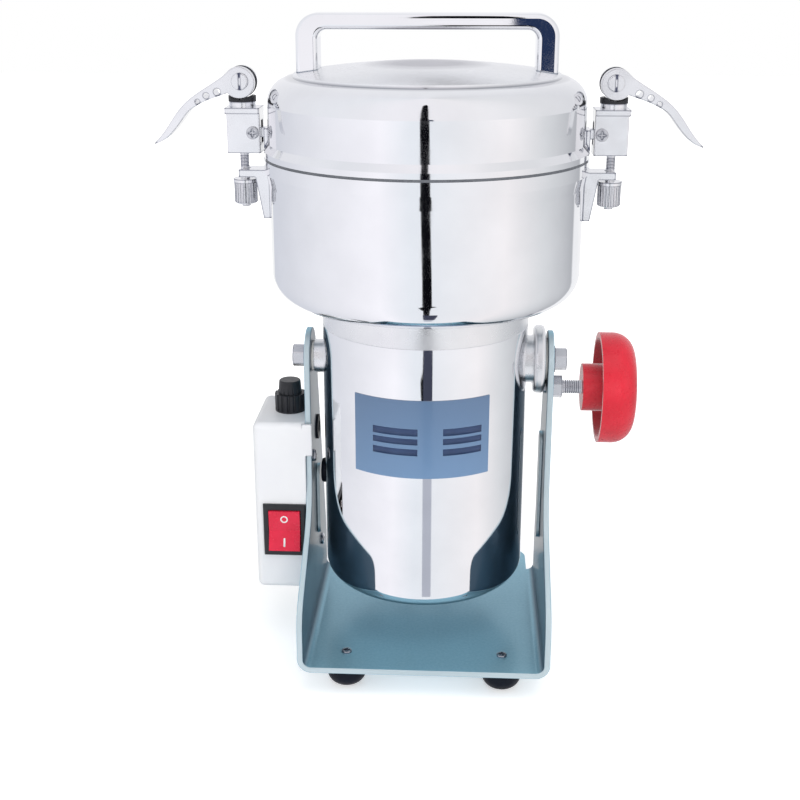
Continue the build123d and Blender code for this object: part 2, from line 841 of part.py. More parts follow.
def motor_collar():
    groove = motor_radius - collar_bead
    bore = bearing_radius + press_gap
    hub = bearing_radius + collar_wall
    ceiling = collar_top - collar_plate
    spigot = housing_inner - press_gap
    spigot_bore = housing_inner - collar_wall
    spigot_end = collar_bottom - collar_spigot
    profile = [
        (groove, collar_bottom), (groove, collar_bottom + collar_groove),
        (motor_radius, collar_bottom + collar_groove), (motor_radius, collar_top),
        (bore, collar_top), (bore, ceiling - collar_wall), (hub, ceiling - collar_wall), (hub, ceiling),
        (spigot_bore, ceiling), (spigot_bore, spigot_end), (spigot, spigot_end), (spigot, collar_bottom),
    ]
    collar = turned(profile)
    collar += ring(bore, shaft_radius + collar_wall, upper_bearing_bottom + bearing_width, collar_top)
    collar -= around(post(bowl_screw_radius + press_gap, collar_top - bowl_screw_depth, collar_top + overrun,
                          bowl_screw_circle), bowl_screws_count)
    return collar


def nameplate():
    seat = motor_radius + press_gap
    return sector(seat + plate_thickness, seat, plate_half_angle, plate_bottom, plate_top, -90)


def lower_bearing_plate():
    top = bearing_plate_bottom + bearing_plate
    plate = post(housing_inner - press_gap, bearing_plate_bottom, top)
    plate -= post(shaft_radius + collar_wall, bearing_plate_bottom - overrun, top + overrun)
    plate -= post(bearing_radius + press_gap, top - bearing_width, top + overrun)
    window = post(bearing_window_radius, bearing_plate_bottom - overrun, top + overrun, bearing_window_circle)
    half_step = 180 / bearing_plate_windows
    return plate - [Rot(0, 0, half_step) * cut for cut in around(window, bearing_plate_windows)]


def shaft_bearings():
    lower = bearing_plate_bottom + bearing_plate - bearing_width
    bearings = []
    for z in (lower, upper_bearing_bottom):
        bearings.append(ring(bearing_radius, shaft_radius + running_gap, z, z + bearing_width))
    return Compound(bearings)


def field_slot(inner, outer, half_angle, z0, z1):
    return [sector(outer, inner, half_angle, z0, z1, middle) for middle in (0, 180)]


def stator_core():
    core = ring(housing_inner - press_gap, bore_radius, core_bottom, core_top)
    return core - field_slot(field_slot_inner, field_slot_outer, field_slot_half_angle,
                             core_bottom - overrun, core_top + overrun)


def field_windings():
    half_angle = field_slot_half_angle - field_angle_gap
    inner = field_slot_inner + soft_gap
    outer = field_slot_outer - press_gap
    ends = (core_bottom - field_end_turn, core_top + field_end_turn)
    return Compound(field_slot(inner, outer, half_angle, *ends))


def brush_z():
    return (commutator_bottom + commutator_top) / 2


def brush_holders():
    start = commutator_radius + holder_wall
    z0 = bearing_plate_bottom + bearing_plate
    half = brush_width / 2 + holder_wall
    holder = block(start, start + holder_reach, -half, half, z0, brush_z() + brush_height / 2 + holder_wall)
    hole = brush_width / 2 + press_gap
    holder -= block(start - overrun, start + brush_length, -hole, hole,
                    brush_z() - brush_height / 2 - press_gap, brush_z() + brush_height / 2 + press_gap)
    return Compound(around(Rot(0, 0, 90) * holder, 2))


def carbon_brushes():
    start = commutator_radius + soft_gap
    brush = block(start, start + brush_length, -brush_width / 2, brush_width / 2,
                  brush_z() - brush_height / 2, brush_z() + brush_height / 2)
    return Compound(around(Rot(0, 0, 90) * brush, 2))


# Rotor
def spacer_bottom():
    return chamber_floor + seal_height + slip_gap + blade_thickness


def shaft_top():
    return spacer_bottom() + blade_spacer_height + blade_thickness + blade_nut_height + shaft_radius / 2


def motor_shaft():
    shaft = post(shaft_radius, shaft_bottom, shaft_top())
    return chamfer(shaft.edges().sort_by(Axis.Z)[-1], shaft_radius / 5)


def armature_core():
    core = ring(armature_radius, shaft_radius, core_bottom, core_top)
    half = armature_slot_width / 2
    slot = block(armature_radius - armature_slot_depth, armature_radius + overrun, -half, half,
                 core_bottom - overrun, core_top + overrun)
    return core - around(slot, armature_slots)


def armature_windings():
    lower = ring(end_turn_outer, end_turn_inner, core_bottom - end_turn_height, core_bottom)
    upper = ring(end_turn_outer, end_turn_inner, core_top, core_top + end_turn_height)
    coils = []
    for coil in (lower, upper):
        outer_edges = coil.edges().filter_by(GeomType.CIRCLE).sort_by(SortBy.RADIUS)[-2:]
        coils.append(fillet(outer_edges, end_turn_height / 3))
    return Compound(coils)


def commutator():
    body = ring(commutator_radius, shaft_radius, commutator_bottom, commutator_top)
    half = commutator_slit / 2
    slit = block(commutator_radius - brush_height / 4, commutator_radius + overrun, -half, half,
                 commutator_bottom - overrun, commutator_top + overrun)
    return body - around(slit, 2 * armature_slots)


def cooling_fan():
    fan = ring(fan_radius, shaft_radius, fan_bottom, fan_bottom + fan_plate)
    fan += ring(fan_hub_radius, shaft_radius, fan_bottom, fan_bottom + fan_plate + fan_blade_height)
    half = fan_blade_thickness / 2
    vane = block(fan_hub_radius + fan_plate, fan_radius - fan_plate, -half, half, fan_bottom + fan_plate / 2,
                 fan_bottom + fan_plate + fan_blade_height)
    fan += around(vane, fan_blades)
    return fan


def blade(reach, z, lift, turn):
    """Two-winged blade with bent-up, narrowed ends."""
    half = blade_width / 2
    tip = blade_tip_width / 2
    bend = reach * blade_wing_share
    plan = make_face(Polyline((-reach, -tip), (-bend, -half), (bend, -half), (reach, -tip),
                              (reach, tip), (bend, half), (-bend, half), (-reach, tip), close=True))
    profile = [(-reach, z + lift), (-bend, z), (bend, z), (reach, z + lift),
               (reach, z + lift + blade_thickness), (bend, z + blade_thickness),
               (-bend, z + blade_thickness), (-reach, z + lift + blade_thickness)]
    side = extrude(Plane.XZ * make_face(Polyline(*profile, close=True)), half, both=True)
    shape = side & (Pos(0, 0, z - overrun) * extrude(plan, lift + blade_thickness + 2 * overrun))
    shape -= post(shaft_radius, z - overrun, z + blade_thickness + overrun)
    return Rot(0, 0, turn) * shape


def lower_blade():
    return blade(lower_blade_reach, spacer_bottom() - blade_thickness, blade_lift, lower_blade_angle)


def upper_blade():
    return blade(upper_blade_reach, spacer_bottom() + blade_spacer_height, blade_lift, upper_blade_angle)


def blade_spacer():
    return ring(blade_hub_radius, shaft_radius, spacer_bottom(), spacer_bottom() + blade_spacer_height)


def blade_nut():
    seat = spacer_bottom() + blade_spacer_height + blade_thickness
    hexagon = RegularPolygon(blade_nut_across / 2, 6, major_radius=False)
    nut = Pos(0, 0, seat) * extrude(hexagon, blade_nut_height)
    return nut - post(shaft_radius, seat - overrun, seat + blade_nut_height + overrun)


# Bowl
def bowl_outer():
    body = cup(bowl_radius, bowl_bottom, rim_top, bowl_corner_radius)
    body += turned([
        (0, rim_taper_bottom), (bowl_radius, rim_taper_bottom), (rim_radius - rim_step, rim_band_bottom),
        (rim_radius, rim_band_bottom), (rim_radius, rim_top), (0, rim_top),
    ])
    return body


def bowl():
    inner = cup(chamber_radius, chamber_floor, rim_top + overrun, bowl_corner_radius - bowl_wall)
    shape = bowl_outer() - inner
    shape -= post(seal_radius - bowl_wall, bowl_bottom - overrun, chamber_floor + overrun)
    shape -= around(post(bowl_screw_radius + press_gap, bowl_bottom - overrun, chamber_floor + overrun,
                         bowl_screw_circle), bowl_screws_count)
    return shape


def bowl_screws():
    head = post(bowl_screw_head_radius, chamber_floor, chamber_floor + bowl_screw_head, bowl_screw_circle)
    head = fillet(head.edges().sort_by(Axis.Z)[-1], bowl_screw_head / 3)
    screw = head + post(bowl_screw_radius, collar_top - bowl_screw_depth, chamber_floor + bowl_screw_head / 2,
                        bowl_screw_circle)
    recess = cross_recess(bowl_screw_head_radius, bowl_screw_head)
    screw -= Pos(bowl_screw_circle, 0, chamber_floor + bowl_screw_head) * recess
    return Compound(around(screw, bowl_screws_count))


def shaft_seal():
    neck = ring(seal_radius - bowl_wall, shaft_radius + soft_gap, bowl_bottom, chamber_floor)
    lip = ring(seal_radius, shaft_radius + soft_gap, chamber_floor, chamber_floor + seal_height)
    return neck + lip


# Lid
def lid_filled(inset):
    """Filled lid shape, drawn in by a wall on every side but the open one."""
    wall = lid_wall_radius - inset
    shoulder = lid_shoulder_radius - inset
    dome_radius = lid_wall_radius - lid_shoulder_radius - lid_step_width
    dome_edge = lid_shoulder_bottom + lid_shoulder_radius + lid_step - inset
    crown = lid_crown - inset

    def dome(radius):
        return crown - (crown - dome_edge) * (radius / dome_radius) ** 2

    middle = (dome_radius + lid_dish_radius) / 2
    flat = lid_dish_radius - lid_dish_edge
    corner = (lid_wall_radius - lid_shoulder_radius, lid_shoulder_bottom)
    step = (corner[0], corner[1] + shoulder)
    floor = lid_bottom - (overrun if inset else 0)
    outline = [
        Line((0, floor), (0, crown - lid_dish_depth)),
        Line((0, crown - lid_dish_depth), (flat, crown - lid_dish_depth)),
        Line((flat, crown - lid_dish_depth), (lid_dish_radius, dome(lid_dish_radius))),
        ThreePointArc((lid_dish_radius, dome(lid_dish_radius)), (middle, dome(middle)),
                      (dome_radius, dome_edge)),
        Line((dome_radius, dome_edge), step),
        CenterArc(corner, shoulder, 0, 90),
        Line((wall, lid_shoulder_bottom), (wall, floor)),
        Line((wall, floor), (0, floor)),
    ]
    return revolve(Plane.XZ * make_face(outline), Axis.Z)


def lid_outer():
    lip_top = lid_bottom + lid_lip_height
    taper_top = lip_top + lid_lip_taper
    lip = turned([
        (0, lid_bottom), (lid_lip_radius, lid_bottom), (lid_lip_radius, lip_top),
        (lid_wall_radius, taper_top), (0, taper_top),
    ])
    return lid_filled(0) + lip


def handle_screw_places():
    reach = (handle_length - handle_leg) / 2
    return (-reach, reach)


def lid():
    shape = lid_outer() - lid_filled(lid_wall)
    for x in handle_screw_places():
        shape -= post(handle_screw_radius + press_gap, lid_bottom, handle_top, x)
    return shape


def lid_gasket():
    return ring(rim_radius - gasket_inset, rim_radius - gasket_inset - gasket_width, rim_top, lid_bottom)


def handle():
    half = handle_length / 2
    bow = block(-half, half, -handle_depth / 2, handle_depth / 2, lid_shoulder_bottom, handle_top)
    for x in (-half, half):
        bow = fillet(edges_at(bow, Axis.Y, X=x, Z=handle_top), handle_corner_radius)
    opening = block(handle_leg - half, half - handle_leg, -handle_depth, handle_depth,
                    lid_shoulder_bottom - overrun, handle_top - handle_bar)
    for x in (handle_leg - half, half - handle_leg):
        opening = fillet(edges_at(opening, Axis.Y, X=x, Z=handle_top - handle_bar), handle_inner_radius)
    bow -= opening
    for y in (-handle_depth / 2, handle_depth / 2):
        face_edges = bow.edges().filter_by(lambda edge: abs(edge.center().Y - y) < running_gap)
        upper = face_edges.filter_by(lambda edge: edge.center().Z > lid_shoulder_bottom + running_gap)
        bow = fillet(upper, handle_edge_fillet)
    bow -= lid_filled(0)
    for x in handle_screw_places():
        bow -= post(handle_screw_radius + press_gap, lid_shoulder_bottom, lid_crown + handle_screw_depth, x)
    return bow


def handle_screws():
    seat = lid_shoulder_bottom + lid_shoulder_radius
    screws = []
    for x in handle_screw_places():
        screw = post(handle_screw_head_radius, seat - handle_screw_head, handle_top, x) & lid_filled(lid_wall)
        screw += post(handle_screw_radius, seat, lid_crown + handle_screw_depth, x)
        screws.append(screw)
    return Compound(screws)


# Latches
def rim_forks():
    end = rod_x + fork_reach
    fork = block(0, end, -fork_half_width, fork_half_width, fork_bottom, fork_top)
    slot = rod_radius + fork_slot_gap
    fork -= block(rod_x, end + overrun, -slot, slot, fork_bottom - overrun, fork_top + overrun)
    fork -= post(slot, fork_bottom - overrun, fork_top + overrun, rod_x)
    face = bowl_radius + fork_plate
    fork += block(0, face, -fork_half_width, fork_half_width, fork_plate_bottom, fork_bottom)
    for side in (-1, 1):
        y = side * (fork_half_width - fork_gusset_width / 2)
        gusset = make_face(Polyline((face, fork_bottom), (face + fork_gusset, fork_bottom),
                                    (face, fork_plate_bottom), close=True))
        fork += Pos(0, y, 0) * extrude(Plane.XZ * gusset, fork_gusset_width / 2, both=True)
    fork -= bowl_outer()
    fork = fork & block(bowl_radius / 2, end, -bowl_radius, bowl_radius, fork_plate_bottom, fork_top)
    return Compound([fork, left_of(fork)])


def latch_lugs():
    lug = block(0, lid_wall_radius + lug_plate, -lug_half_width, lug_half_width, lug_bottom, lug_top)
    tongue = block(0, latch_pivot_x, -tongue_half_width, tongue_half_width,
                   latch_pivot_z - tongue_radius, latch_pivot_z + tongue_radius)
    tongue += bar_y(tongue_radius, -tongue_half_width, tongue_half_width, latch_pivot_x, latch_pivot_z)
    lug = lug + tongue - lid_outer()
    lug -= bar_y(latch_screw_radius + press_gap, -lid_wall_radius, lid_wall_radius,
                 latch_pivot_x, latch_pivot_z)
    lug = lug & block(lid_wall_radius / 2, rod_x, -lid_wall_radius, lid_wall_radius, lug_bottom, lug_top)
    return Compound([lug, left_of(lug)])


def latch_screws():
    front = -block_half_width - slip_gap
    screw = bar_y(latch_screw_radius, front, block_half_width + slip_gap, latch_pivot_x, latch_pivot_z)
    for y in (front - latch_screw_head, -front):
        head = bar_y(latch_screw_head_radius, y, y + latch_screw_head, latch_pivot_x, latch_pivot_z)
        outer = head.edges().sort_by(Axis.Y)[0 if y < 0 else -1]
        screw += fillet(outer, latch_screw_head / 2)
    recess = Rot(90, 0, 0) * cross_recess(latch_screw_head_radius, latch_screw_head)
    screw -= Pos(latch_pivot_x, front - latch_screw_head, latch_pivot_z) * recess
    return Compound([screw, left_of(screw)])


def latch_block():
    shape = block(block_inner_x, block_outer_x, -block_half_width, block_half_width,
                  block_bottom, block_top - block_cap)
    shape = fillet(shape.edges().filter_by(Axis.Z), block_edge_fillet)
    proud = block_half_width + block_cap_proud
    cap = block(block_inner_x, block_outer_x + block_cap_proud, -proud, proud,
                block_top - block_cap, block_top)
    shape += fillet(cap.edges().filter_by(Axis.Z), block_edge_fillet)
    shape += post(block_boss_radius, block_top, block_top + block_boss_height, rod_x)
    slot = tongue_half_width + slip_gap
    end = latch_pivot_x + tongue_radius + soft_gap
    room = 2 * tongue_radius
    shape -= block(block_inner_x - overrun, end, -slot, slot, latch_pivot_z - room, latch_pivot_z + room)
    shape -= bar_y(latch_screw_radius + running_gap, -rod_x, rod_x, latch_pivot_x, latch_pivot_z)
    return shape - post(rod_radius + running_gap, block_bottom - overrun, lever_pin_z, rod_x)


def cam_seat():
    return block_top + block_boss_height


def cam_middle():
    """Middle of the cam's round head, off the lever pin."""
    return (rod_x + cam_offset * cos(cam_half), lever_pin_z - cam_offset * sin(cam_half))


def cam_washer():
    washer = ring(cam_washer_radius, rod_radius + running_gap,
                  cam_seat(), cam_seat() + cam_washer_height, rod_x)
    z = cam_middle()[1]
    x = rod_x + cam_offset * (1 + cos(cam_half)) / 2
    return washer - bar_y(lever_head_radius + cam_clearance, -cam_washer_radius, cam_washer_radius, x, z)


def latch_rod():
    rod = post(rod_radius, nut_bottom - rod_tail, lever_pin_z - rod_eye_radius / 2, rod_x)
    first = fork_top + rod_pitch
    for index in range(int((block_bottom - fork_top) / rod_pitch) - 2):
        z = first + index * rod_pitch
        groove = ring(rod_radius + overrun, rod_radius - rod_groove, z, z + rod_pitch / 2, rod_x)
        rod -= groove
    rod += bar_y(rod_eye_radius, -rod_eye_half_width, rod_eye_half_width, rod_x, lever_pin_z)
    return rod - bar_y(lever_pin_radius + press_gap, -rod_x, rod_x, rod_x, lever_pin_z)


def lever_pin():
    face = lever_half_width + slip_gap
    pin = bar_y(lever_pin_radius, -face, face, rod_x, lever_pin_z)
    for y in (-face - lever_pin_head, face):
        head = bar_y(lever_pin_head_radius, y, y + lever_pin_head, rod_x, lever_pin_z)
        outer = head.edges().sort_by(Axis.Y)[0 if y < 0 else -1]
        pin += fillet(outer, lever_pin_head / 2)
    half = lever_pin_slot / 2
    reach = lever_pin_head_radius + overrun
    end = -face - lever_pin_head
    return pin - block(rod_x - half, rod_x + half, end - overrun, end + lever_pin_head / 2,
                       lever_pin_z - reach, lever_pin_z + reach)


def lever():
    x, z = cam_middle()

    def placed(shares):
        return [(rod_x + across * lever_reach, lever_pin_z + up * lever_drop) for across, up in shares]

    lower = placed(lever_lower_shares)
    upper = placed(lever_upper_shares)
    outline = [Spline(*lower), Line(lower[-1], upper[0]), Spline(*upper), Line(upper[-1], lower[0])]
    arm = extrude(Plane.XZ * make_face(outline), lever_half_width, both=True)

    def on_rim(edge):
        on_side = abs(abs(edge.center().Y) - lever_half_width) < running_gap
        return on_side and edge.center().X > rod_x + lever_head_radius

    arm = fillet(arm.edges().filter_by(on_rim), lever_edge)
    head = bar_y(lever_head_radius, -lever_half_width, lever_half_width, x, z)
    shape = arm + fillet(head.edges().filter_by(GeomType.CIRCLE), lever_edge)
    for place, size in zip(placed(lever_hole_shares), lever_hole_size_shares):
        shape -= bar_y(lever_hole_radius * size, -rod_x, rod_x, *place)
    slot = rod_eye_half_width + lever_slot_gap
    shape -= bar_y(lever_head_radius + overrun, -slot, slot, rod_x, lever_pin_z)
    return shape - bar_y(lever_pin_radius + running_gap, -rod_x, rod_x, rod_x, lever_pin_z)


def knurled_nut():
    nut = post(nut_radius, nut_bottom, nut_top - nut_collar_height, rod_x)
    nut = chamfer(nut.edges().sort_by(Axis.Z)[0], nut_edge)
    flute = post(nut_flute_radius, nut_bottom - overrun, nut_top - nut_collar_height, nut_radius)
    nut -= [Pos(rod_x, 0, 0) * cut for cut in around(flute, nut_flutes)]
    nut += post(nut_collar_radius, nut_top - nut_collar_height, nut_top, rod_x)
    return nut - post(rod_radius + running_gap, nut_bottom - overrun, nut_top + overrun, rod_x)


single_pieces = [
    stand_frame, rubber_feet, foot_screws, clamp_nut, control_box, box_screws, arm_grommet, mains_gland,
    switch_housing, rocker_button, fuse_holder, fuse_cartridge, fuse_cap, clamp_stud, clamp_knob,
    pivot_bolts, friction_washers, lock_disc, pivot_spacer, motor_housing, motor_gland, motor_collar,
    nameplate, lower_bearing_plate, shaft_bearings, stator_core, field_windings, brush_holders,
    carbon_brushes, motor_shaft, armature_core, armature_windings, commutator, cooling_fan, lower_blade,
    upper_blade, blade_spacer, blade_nut, bowl, bowl_screws, shaft_seal, rim_forks, lid, lid_gasket, handle,
    handle_screws, latch_lugs, latch_screws,
]
paired_pieces = [latch_block, cam_washer, latch_rod, lever_pin, lever, knurled_nut]

os.makedirs("parts", exist_ok=True)
for make in single_pieces:
    export_step(make(), f"parts/{make.__name__}.step")
for make in paired_pieces:
    piece = make()
    export_step(piece, f"parts/right_{make.__name__}.step")
    export_step(left_of(piece), f"parts/left_{make.__name__}.step")
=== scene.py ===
import bmesh
import bpy
import json
from math import cos, pi, radians, sin
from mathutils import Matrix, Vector


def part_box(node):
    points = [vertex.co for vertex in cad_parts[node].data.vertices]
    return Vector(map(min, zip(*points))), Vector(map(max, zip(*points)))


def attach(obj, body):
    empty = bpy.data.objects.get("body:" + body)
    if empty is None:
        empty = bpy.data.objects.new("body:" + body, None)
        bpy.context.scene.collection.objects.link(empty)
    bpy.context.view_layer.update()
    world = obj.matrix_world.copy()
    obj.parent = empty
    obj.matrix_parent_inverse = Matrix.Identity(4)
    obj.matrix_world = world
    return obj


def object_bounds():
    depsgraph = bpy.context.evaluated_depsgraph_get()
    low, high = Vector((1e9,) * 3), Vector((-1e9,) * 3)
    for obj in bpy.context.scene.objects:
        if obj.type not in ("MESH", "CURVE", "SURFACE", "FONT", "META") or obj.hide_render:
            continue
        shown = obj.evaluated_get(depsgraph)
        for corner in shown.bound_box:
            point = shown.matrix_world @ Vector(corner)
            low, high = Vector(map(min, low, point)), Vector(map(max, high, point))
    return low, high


# High-speed grinder on a tilting stand: finishes, small details, studio and camera, in metres, front at -Y
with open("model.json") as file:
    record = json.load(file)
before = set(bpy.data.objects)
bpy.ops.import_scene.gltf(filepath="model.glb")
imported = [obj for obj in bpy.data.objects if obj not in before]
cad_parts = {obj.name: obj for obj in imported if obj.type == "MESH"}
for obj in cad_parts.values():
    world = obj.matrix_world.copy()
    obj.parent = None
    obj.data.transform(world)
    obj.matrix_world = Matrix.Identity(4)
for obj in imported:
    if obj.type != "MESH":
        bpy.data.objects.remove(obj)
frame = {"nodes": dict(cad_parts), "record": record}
cad_low, cad_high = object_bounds()
nodes = frame["nodes"]

# Camera of the photograph
photo_size = 800
focal_pixels = 1250.0
camera_pitch = radians(19.45)
camera_azimuth = radians(3.0)
camera_distance = 0.705
camera_height = 0.4040
camera_side = -0.0148
sensor_width = 36.0

# Fine texture sizes
powder_size = 0.0005
grain_size = 0.0007
polish_size = 0.0009
hammer_size = 0.0016
skin_size = 0.0028
glass_size = 0.0056
foil_size = 0.0075
patch_size = 0.01
sheen_size = 0.015
cloud_size = 0.03
bump_depth = 0.0001
sheet_stretch = (0.02, 0.02, 1)

# Middle part of a noise, over which a tone or a shine runs from one end to the other
noise_low = 0.3
noise_high = 0.7
paint_low = 0.25
paint_high = 0.75

# Painted dark edges, a painted reflection on metal and painted shade on the box: width, and where the tone
# starts and ends as shares of open space
edge_width = 0.0011
edge_start_share = 0.5
edge_end_share = 0.85
edge_samples = 8

# Satin crown of the lid, painted dark reflection in the lid's middle, and painted shade line round the
# crown's edge
crown_height = 0.0065
crown_edge = 0.001
crown_satin = 0.2
reflection_inner = 0.018
reflection_outer = 0.037

# Stand paint: painted shade on the inner faces by distance from the middle, painted highlight on the rims
# by the direction that they face
inner_shade_full = -0.06
inner_shade_none = -0.02
highlight_direction = (0, -0.92, 0.39)
highlight_start_share = 0.5
highlight_end_share = 0.85

# Sizes of the small details
mark_height = 0.00012
mark_reach = 0.0073
mark_ring_radius = 0.0023
mark_ring_width = 0.0008
mark_bar_length = 0.0054
mark_bar_width = 0.0011
mark_steps = 40
rocker_valley = 0.0064
rocker_crest = 0.0084
rocker_half = 0.0125
rocker_rest_turn = radians(-6.0)

# Blank fields on the blue plate: angles from the front in degrees, rows as shares of the plate from its top
field_height = 0.00006
field_merge_share = 0.01
field_steps = 16
field_angles = [(-26.7, -1.9), (11.6, 33.5)]
field_row_shares = [(0.36, 0.45), (0.487, 0.564), (0.62, 0.705)]

# Studio: floor, light on matt surfaces, side card, and lamps with their places, sizes and powers
floor_half = 4.0
floor_glow = 0.42
floor_near = 0.25
floor_clear = 0.9
matt_light = 0.42
square_face = [(0, 1, 2, 3)]
side_card_place = (0.165, -2.0, 0.27)
side_card_half = (0.05, 0.13)
side_card_tone = (0.02, 0.035, 0.09)
softboxes = [
    ("top_light", (0.2, -0.3, 1.5), (1.2, 1.2), 9),
    ("left_light", (-1.3, -0.9, 0.9), (0.8, 1.2), 7),
    ("right_light", (1.3, -0.7, 0.8), (0.8, 1.2), 5),
    ("front_light", (0.3, -1.7, 0.7), (1.0, 1.0), 12),
]

# Dark strip in front: lift, tones, then stations of distance from the axis, shift across and half width
card_lift = 0.001
strip_pale = (0.52, 0.54, 0.62)
strip_slate = (0.06, 0.065, 0.10)
strip_black = (0.004, 0.004, 0.006)
strip_stations = [
    (0.14, -0.0014, 0.005), (0.46, -0.003, 0.018), (0.57, -0.0145, 0.0385), (0.61, -0.018, 0.045),
    (0.64, 0.013, 0.051), (0.72, 0.012, 0.052), (0.80, 0.006, 0.046), (1.10, -0.006, 0.0615),
    (1.60, -0.045, 0.09), (2.80, -0.125, 0.1565), (3.20, -0.15, 0.175),
]
strip_post_bottom = 0.28
strip_post_height = 4.0
strip_post_end = 1.6
strip_post_steps = 12
near_card_station = (0.125, 0.0027, 0.0082)
near_card_heights = [(strip_pale, 0.0, 0.11), (strip_slate, 0.11, 0.186)]

# Tones of the floor and of the sky in reflections, by direction round the object in degrees from the front
floor_tones = [
    (-180, (1.0, 1.0, 1.0)), (-147, (1.0, 1.0, 1.0)), (-145, (0.70, 0.72, 0.79)), (-80, (0.92, 0.92, 0.97)),
    (-30, (1.10, 1.08, 1.13)), (-8, (0.95, 0.98, 1.03)), (8, (0.95, 0.97, 1.01)), (58, (1.06, 1.02, 1.03)),
    (92, (0.80, 0.81, 0.83)), (133, (0.50, 0.51, 0.54)), (135, (0.98, 0.98, 1.0)), (180, (1.0, 1.0, 1.0)),
]
sky_tones = [
    (-180, (0.93, 0.93, 0.96)), (-120, (0.90, 0.90, 0.94)), (-70, (0.92, 0.93, 0.97)),
    (-20, (1.00, 0.98, 1.02)), (40, (1.00, 0.98, 1.00)), (90, (0.86, 0.86, 0.88)),
    (130, (0.84, 0.84, 0.87)), (180, (0.93, 0.93, 0.96)),
]


class Look:
    """A material with short calls for the nodes that repeat."""

    def __init__(self, name, **sockets):
        self.material = bpy.data.materials.new(name)
        self.material.use_nodes = True
        self.tree = self.material.node_tree
        self.shader = self.tree.nodes["Principled BSDF"]
        for socket, value in sockets.items():
            self.shader.inputs[socket.replace("_", " ")].default_value = value
        self.place = self.add("ShaderNodeTexCoord").outputs["Object"]

    def add(self, kind, **settings):
        node = self.tree.nodes.new(kind)
        for key, value in settings.items():
            setattr(node, key, value)
        return node

    def join(self, source, target):
        self.tree.links.new(source, target)

    def into(self, source, socket):
        self.join(source, self.shader.inputs[socket])

    def noise(self, size, detail=3.0, stretch=(1, 1, 1), place=None):
        """Noise whose grains are about one size across."""
        mapping = self.add("ShaderNodeMapping")
        mapping.inputs["Scale"].default_value = [share / size for share in stretch]
        self.join(place or self.place, mapping.inputs["Vector"])
        texture = self.add("ShaderNodeTexNoise")
        texture.inputs["Scale"].default_value = 1.0
        texture.inputs["Detail"].default_value = detail
        self.join(mapping.outputs["Vector"], texture.inputs["Vector"])
        return texture.outputs["Fac"]

    def cells(self, size):
        """Rounded cells of about one size."""
        texture = self.add("ShaderNodeTexVoronoi", feature="SMOOTH_F1")
        texture.inputs["Scale"].default_value = 1.0 / size
        self.join(self.place, texture.inputs["Vector"])
        return texture.outputs["Distance"]

    def spread(self, source, low, high, start=0.0, end=1.0):
        node = self.add("ShaderNodeMapRange")
        for name, value in (("From Min", start), ("From Max", end), ("To Min", low), ("To Max", high)):
            node.inputs[name].default_value = value
        self.join(source, node.inputs["Value"])
        return node.outputs["Result"]

    def tint(self, source, first, second, start=noise_low, end=noise_high):
        """Colour that runs from first to second as the source rises."""
        node = self.add("ShaderNodeValToRGB")
        for element, place, colour in zip(node.color_ramp.elements, (start, end), (first, second)):
            element.position = place
            element.color = (*colour, 1.0)
        self.join(source, node.inputs["Fac"])
        return node.outputs["Color"]

    def bump(self, source, strength):
        node = self.add("ShaderNodeBump")
        node.inputs["Strength"].default_value = strength
        node.inputs["Distance"].default_value = bump_depth
        self.join(source, node.inputs["Height"])
        self.into(node.outputs["Normal"], "Normal")

    def sheen(self, size, smooth, rough):
        """Roughness in soft patches of about one size."""
        return self.spread(self.noise(size), smooth, rough, noise_low, noise_high)

    def parts(self, vector):
        split = self.add("ShaderNodeSeparateXYZ")
        self.join(vector, split.inputs["Vector"])
        return split.outputs

    def height(self):
        return self.parts(self.place)["Z"]

    def combine(self, operation, first, second):
        node = self.add("ShaderNodeMath", operation=operation)
        self.join(first, node.inputs[0])
        self.join(second, node.inputs[1])
        return node.outputs["Value"]

    def times(self, first, second):
        return self.combine("MULTIPLY", first, second)

    def blend(self, factor, first, second):
        """Colour that goes from first to second, each a colour or an output, with the factor."""
        # Inputs 6 and 7 and output 2 of this node are its colours
        node = self.add("ShaderNodeMix", data_type="RGBA")
        self.join(factor, node.inputs["Factor"])
        for colour, socket in ((first, node.inputs[6]), (second, node.inputs[7])):
            if isinstance(colour, tuple):
                socket.default_value = (*colour, 1.0)
            else:
                self.join(colour, socket)
        return node.outputs[2]

    def facing(self, direction):
        """How far the surface faces a direction of its own frame."""
        normal = self.add("ShaderNodeTexCoord").outputs["Normal"]
        node = self.add("ShaderNodeVectorMath", operation="DOT_PRODUCT")
        self.join(normal, node.inputs[0])
        node.inputs[1].default_value = direction
        return node.outputs["Value"]

    def outward(self):
        """Negative on the faces of the two arms that look inwards."""
        return self.times(self.parts(self.place)["X"], self.facing((1, 0, 0)))

    def away_from_axis(self):
        return self.parts(self.rings())["X"]

    def edges(self, width):
        """Near 0 along the edges of a solid and 1 away from them, as the mask of the painted dark edges."""
        node = self.add("ShaderNodeAmbientOcclusion", inside=True, only_local=True, samples=edge_samples)
        node.inputs["Distance"].default_value = width
        return self.spread(node.outputs["AO"], 0.0, 1.0, edge_start_share, edge_end_share)

    def rings(self):
        """Place as distance from the motor axis and height, so that a pattern runs round the axis."""
        parts = self.parts(self.place)
        flat = self.add("ShaderNodeCombineXYZ")
        self.join(parts["X"], flat.inputs["X"])
        self.join(parts["Y"], flat.inputs["Y"])
        length = self.add("ShaderNodeVectorMath", operation="LENGTH")
        self.join(flat.outputs["Vector"], length.inputs[0])
        both = self.add("ShaderNodeCombineXYZ")
        self.join(length.outputs["Value"], both.inputs["X"])
        self.join(parts["Z"], both.inputs["Z"])
        return both.outputs["Vector"]


